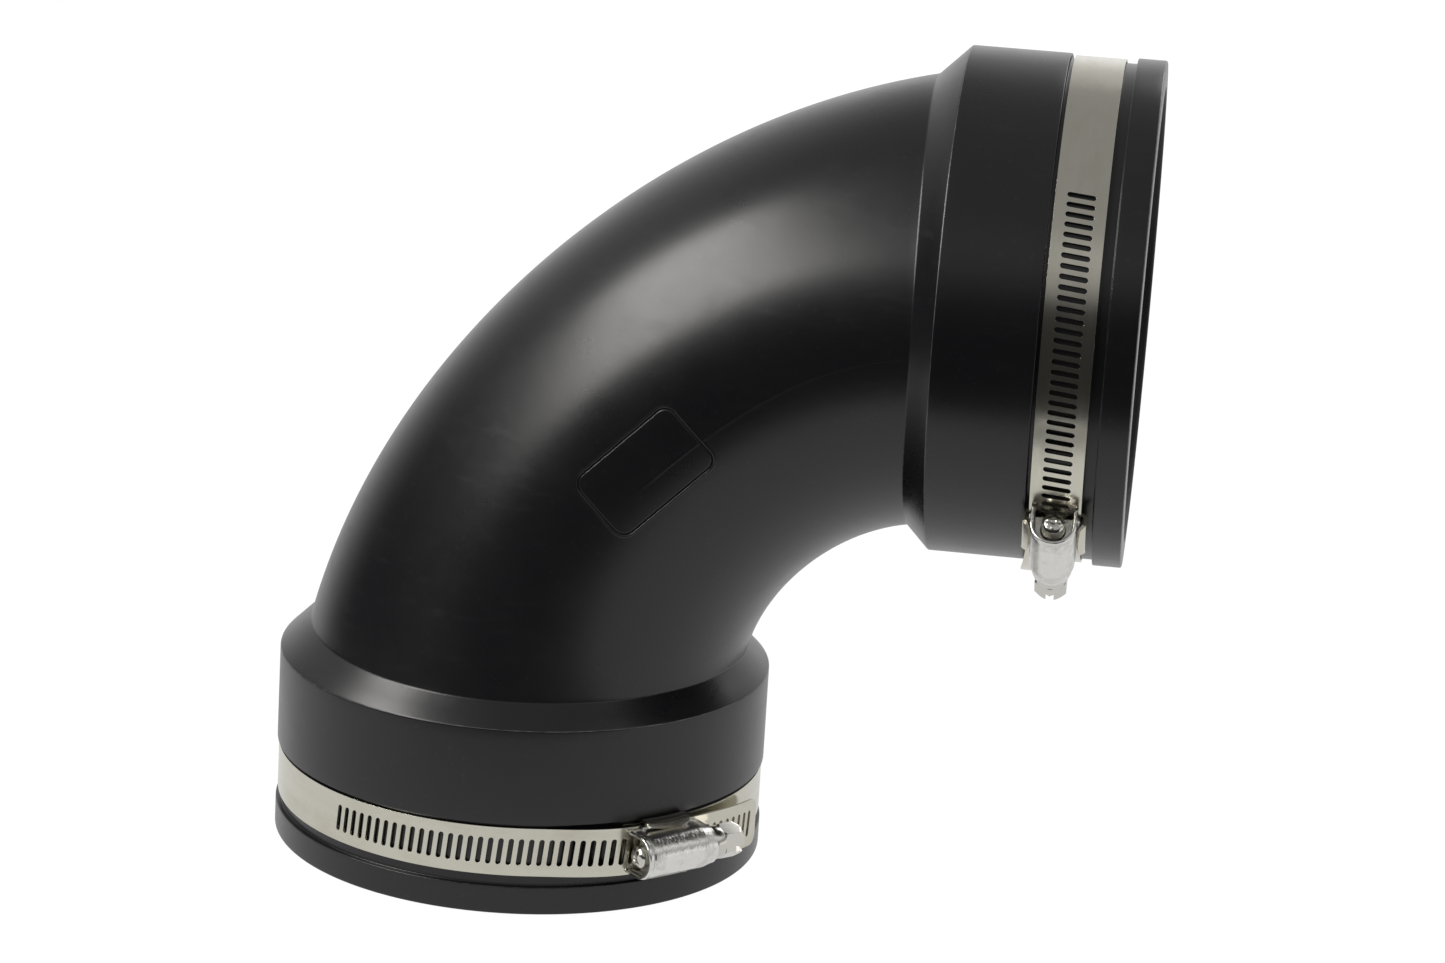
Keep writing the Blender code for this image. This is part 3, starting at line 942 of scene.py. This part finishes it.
def makeHousing(prefix, clamp, values, material):
    half = clamp["housingLength"] / 2
    wall = clamp["wall"]
    flange = clamp["bandWidth"] / 2
    foot = clamp["housingFoot"]
    top = clamp["wormHeight"]

    def ring(along, inset, ear, thickness=wall):
        # An arch on two legs, each with a flange that follows the band's round
        reach = clamp["archInner"] + wall / 2 - inset
        tip = reach + wall / 2 + 0.0001 + (flange - reach - wall / 2 - 0.0001) * ear
        drop = bowed(foot, along) - foot
        middle = foot + wall / 2
        leg = [Vector((tip, middle)), Vector((reach, middle)), Vector((reach, top))]
        line = bentPath(leg, (values["footBend"],))
        turns = [pi * step / values["archSteps"] for step in range(1, values["archSteps"])]
        arch = [Vector((reach * cos(turn), top + reach * sin(turn))) for turn in turns]
        path = line + arch + [Vector((-point.x, point.y)) for point in reversed(line)]
        outline = []
        for point in sheetOutline(path, thickness):
            fall = drop * (1 - ease((point.y - foot - wall) / (top - foot - wall)))
            outline.append((point.y + fall, along, point.x))
        return outline

    rim = -half + values["rimWidth"]
    groove = values["rimGroove"]
    flangeStart = -half + values["flangeClear"]
    taperStart = half - values["taperLength"]
    # Along the worm: how far the arch is drawn in, how far the flanges reach out, and the bead's
    # thickness in walls
    stations = [(-half + along, 0, 0, thickness * wall) for along, thickness in values["rimBead"]]
    stations += [
        (rim - 0.0002, 0, 0), (rim, 0, 0), (rim + 0.0002, groove * 0.6, 0), (rim + 0.0004, groove, 0),
        (rim + 0.0007, groove * 0.5, 0), (rim + 0.0011, 0.00003, 0), (flangeStart - 0.0001, 0, 0),
        (flangeStart + 0.0001, 0, 0.8), (flangeStart + 0.0005, 0, 0.95), (flangeStart + 0.0010, 0, 1),
    ]
    span = taperStart - flangeStart - 0.002
    stations += [(flangeStart + 0.001 + span * step / 10, 0, 1) for step in range(1, 11)]
    stations += [(taperStart - 0.0004, 0, 0.95), (taperStart, 0, 0.8), (taperStart + 0.0002, 0.00001, 0)]
    span = half - taperStart - 0.0002
    for share in [step / 7 for step in range(1, 8)]:
        stations.append((taperStart + 0.0002 + span * share, values["taper"] * ease(share), 0))
    item = sweptPiece(prefix + "StampedHousing", [ring(*station) for station in stations], material, 40)
    webs = [(-half + values["webDepth"], values["pilotRadius"] + clamp["gap"], 0),
            (half - values["webThickness"] - 0.00005, values["neckRadius"] + clamp["gap"], values["taper"])]
    for start, hole, inset in webs:
        addWeb(item, clamp, start, values["webThickness"], hole, inset)
    roundEdges(item, values["edgeRound"], 2, 42)
    return item


def addWeb(item, clamp, start, thickness, hole, inset):
    # A wall across the arch with a round hole for the screw
    steps = 56
    reach = clamp["archInner"] - inset + 0.0002
    low = clamp["wormHeight"] - clamp["housingFoot"] - 0.0004
    rings = []
    for along, outer in ((start, False), (start, True), (start + thickness, True), (start + thickness, False)):
        ring = []
        for step in range(steps):
            turn = 2 * pi * step / steps
            length = hole
            if outer:
                length = reach
                if cos(turn) < 0:
                    length = min(reach / max(abs(sin(turn)), 0.01), low / abs(cos(turn)))
            ring.append((clamp["wormHeight"] + length * cos(turn), along, length * sin(turn)))
        rings.append(ring)
    mesh = bmesh.new()
    mesh.from_mesh(item.data)
    store = mesh.verts.layers.float_vector.get("place")
    spots = []
    for ring in rings:
        for point in ring:
            spot = mesh.verts.new(point)
            spot[store] = point
            spots.append(spot)
    fresh = [mesh.faces.new([spots[index] for index in face]) for face in ringFaces(4, steps, True, True)]
    bmesh.ops.recalc_face_normals(mesh, faces=fresh)
    for face in fresh:
        face.smooth = True
    mesh.to_mesh(item.data)
    mesh.free()


screwSizes = {
    "pilotRadius": 0.00285,
    "pilotReach": -0.0004,
    "domeHeight": 0.0012,
    # The pilot's turned end, a dimple, a dome and a fine ring: height, radius and unevenness
    "turnedEnd": ((0.78, 0.08, 0), (0.84, 0.20, 0), (1.0, 0.28, 0.06), (0.99, 0.40, 0.14),
                  (0.86, 0.58, 0.10), (0.80, 0.62, 0.06), (0.76, 0.68, 0.03), (0.60, 0.79, 0),
                  (0.34, 0.91, 0), (0.14, 0.98, 0), (0, 1, 0)),
    "rootRadius": 0.0030,
    "crestRadius": 0.00402,
    "crestShare": 0.32,
    "threadSteps": 128,
    "neckRadius": 0.0030,
    "collarRadius": 0.0043,
    "collarThickness": 0.0030,
    "collarRound": 0.0003,
    "hexAcrossFlats": 0.0079,
    "hexLength": 0.0056,
    "hexChamfer": 0.0011,
    "hexSlope": 0.62,
    "hexSteps": 24,
    "slotWidth": 0.0020,
    "slotDepth": 0.0027,
    "edgeRound": 0.00010,
    "columns": 72,
}


def makeScrew(prefix, clamp, values, material, turned):
    half = clamp["housingLength"] / 2
    columns = values["columns"]
    pitch = bandSizes["slotPitch"]
    rows = []

    def row(along, radius, lobes=0):
        turns = [2 * pi * column / columns for column in range(columns)]
        rows.append((along, [radius * (1 + lobes * cos(6 * turn)) for turn in turns]))

    pilot = values["pilotRadius"]
    start = -half - values["pilotReach"]
    for share, radius, lobes in values["turnedEnd"]:
        row(start - share * values["domeHeight"], radius * pilot, lobes)
    threadStart = -half + housingSizes["webDepth"] + housingSizes["webThickness"] + 0.0005
    threadEnd = half - housingSizes["webThickness"] - 0.0005
    row(threadStart - 0.0002, pilot)
    count = values["threadSteps"]
    for step in range(count + 1):
        along = threadStart + (threadEnd - threadStart) * step / count
        runOut = ease(step / 6) * ease((count - step) / 6)
        radii = []
        for column in range(columns):
            phase = (along / pitch - column / columns) % 1
            ridge = 1 - ease((abs(phase - 0.5) * 2 - values["crestShare"]) / 0.34)
            radii.append(values["rootRadius"] + (values["crestRadius"] - values["rootRadius"]) * ridge * runOut)
        rows.append((along, radii))
    collar = values["collarRadius"]
    soft = values["collarRound"]
    collarStart = half + clamp["gap"]
    hexStart = collarStart + values["collarThickness"]
    row(threadEnd + 0.0001, values["neckRadius"])
    row(collarStart, values["neckRadius"])
    for along, radius in ((0, collar - soft), (0.3 * soft, collar - 0.3 * soft), (soft, collar)):
        row(collarStart + along, radius)
    for along, radius in ((soft, collar), (0.3 * soft, collar - 0.3 * soft), (0, collar - soft)):
        row(hexStart - along, radius)
    flat = values["hexAcrossFlats"] / 2
    corner = flat / cos(pi / 6)
    chamfer = values["hexChamfer"]
    length = values["hexLength"]
    for step in range(values["hexSteps"] + 1):
        along = length * step / values["hexSteps"]
        cone = corner + 0.0001 - max(chamfer - (length - along), 0) * values["hexSlope"]
        cone -= max(0.0004 - along, 0)
        radii = []
        for column in range(columns):
            fromFlat = (2 * pi * column / columns + pi / 6) % (pi / 3) - pi / 6
            radii.append(min(flat / cos(pi / 6 - abs(fromFlat)), cone))
        rows.append((hexStart + along, radii))
    row(hexStart + length + 0.00002, flat - 0.0007)
    rings = []
    for along, radii in rows:
        ring = []
        for column, radius in enumerate(radii):
            turn = 2 * pi * column / columns
            ring.append((radius * cos(turn), along, radius * sin(turn)))
        rings.append(ring)
    item = sweptPiece(prefix + "WormScrew", rings, material, 34)
    # The driver slot is cut with a bar that stands out past the head on all sides
    end = hexStart + length
    reach = 0.008
    wide = values["slotWidth"] / 2
    square = ((-reach, -wide), (reach, -wide), (reach, wide), (-reach, wide))
    cutCorners = [(x, y, z) for y in (end - values["slotDepth"], end + 0.002) for x, z in square]
    cutter = newPiece("slotCutter", cutCorners, ringFaces(2, 4) + [(0, 1, 2, 3), (4, 5, 6, 7)], material)
    turnOutwards(cutter)
    cutAway(item, cutter)
    spin = Matrix.Rotation(radians(turned), 4, "Y")
    item.data.transform(Matrix.Translation((clamp["wormHeight"], 0, 0)) @ spin)
    roundEdges(item, values["edgeRound"], 2, 50)
    return item


def cutAway(item, cutter):
    cut = item.modifiers.new("driver slot", "BOOLEAN")
    cut.operation = "DIFFERENCE"
    cut.object = cutter
    graph = bpy.context.evaluated_depsgraph_get()
    finished = bpy.data.meshes.new_from_object(item.evaluated_get(graph))
    item.modifiers.clear()
    item.data = finished
    bpy.data.objects.remove(cutter)


bandSteel = makeBandSteel(steelLooks)
housingSteel = makePressedSteel(steelLooks, "housingSteel", "housing")
screwSteel = makePressedSteel(steelLooks, "screwSteel", "screw")
for prefix, seed, screwTurn in (("lower", 0, 20), ("side", 1.7, 0)):
    clampBody = prefix + "_clamp"
    band = makeBand(prefix, clampSizes, bandSizes, bandSteel, seed)
    intoPlace(band, prefix, clampBody, prefix + "_band")
    saddle = makeSaddle(prefix, clampSizes, saddleSizes, bandSteel)
    intoPlace(saddle, prefix, clampBody, prefix + "_saddle")
    housing = makeHousing(prefix, clampSizes, housingSizes, housingSteel)
    intoPlace(housing, prefix, clampBody, prefix + "_housing")
    screw = makeScrew(prefix, clampSizes, screwSizes, screwSteel, screwTurn)
    intoPlace(screw, prefix, prefix + "_screw", prefix + "_worm_screw")
    print(prefix, "clamp built")
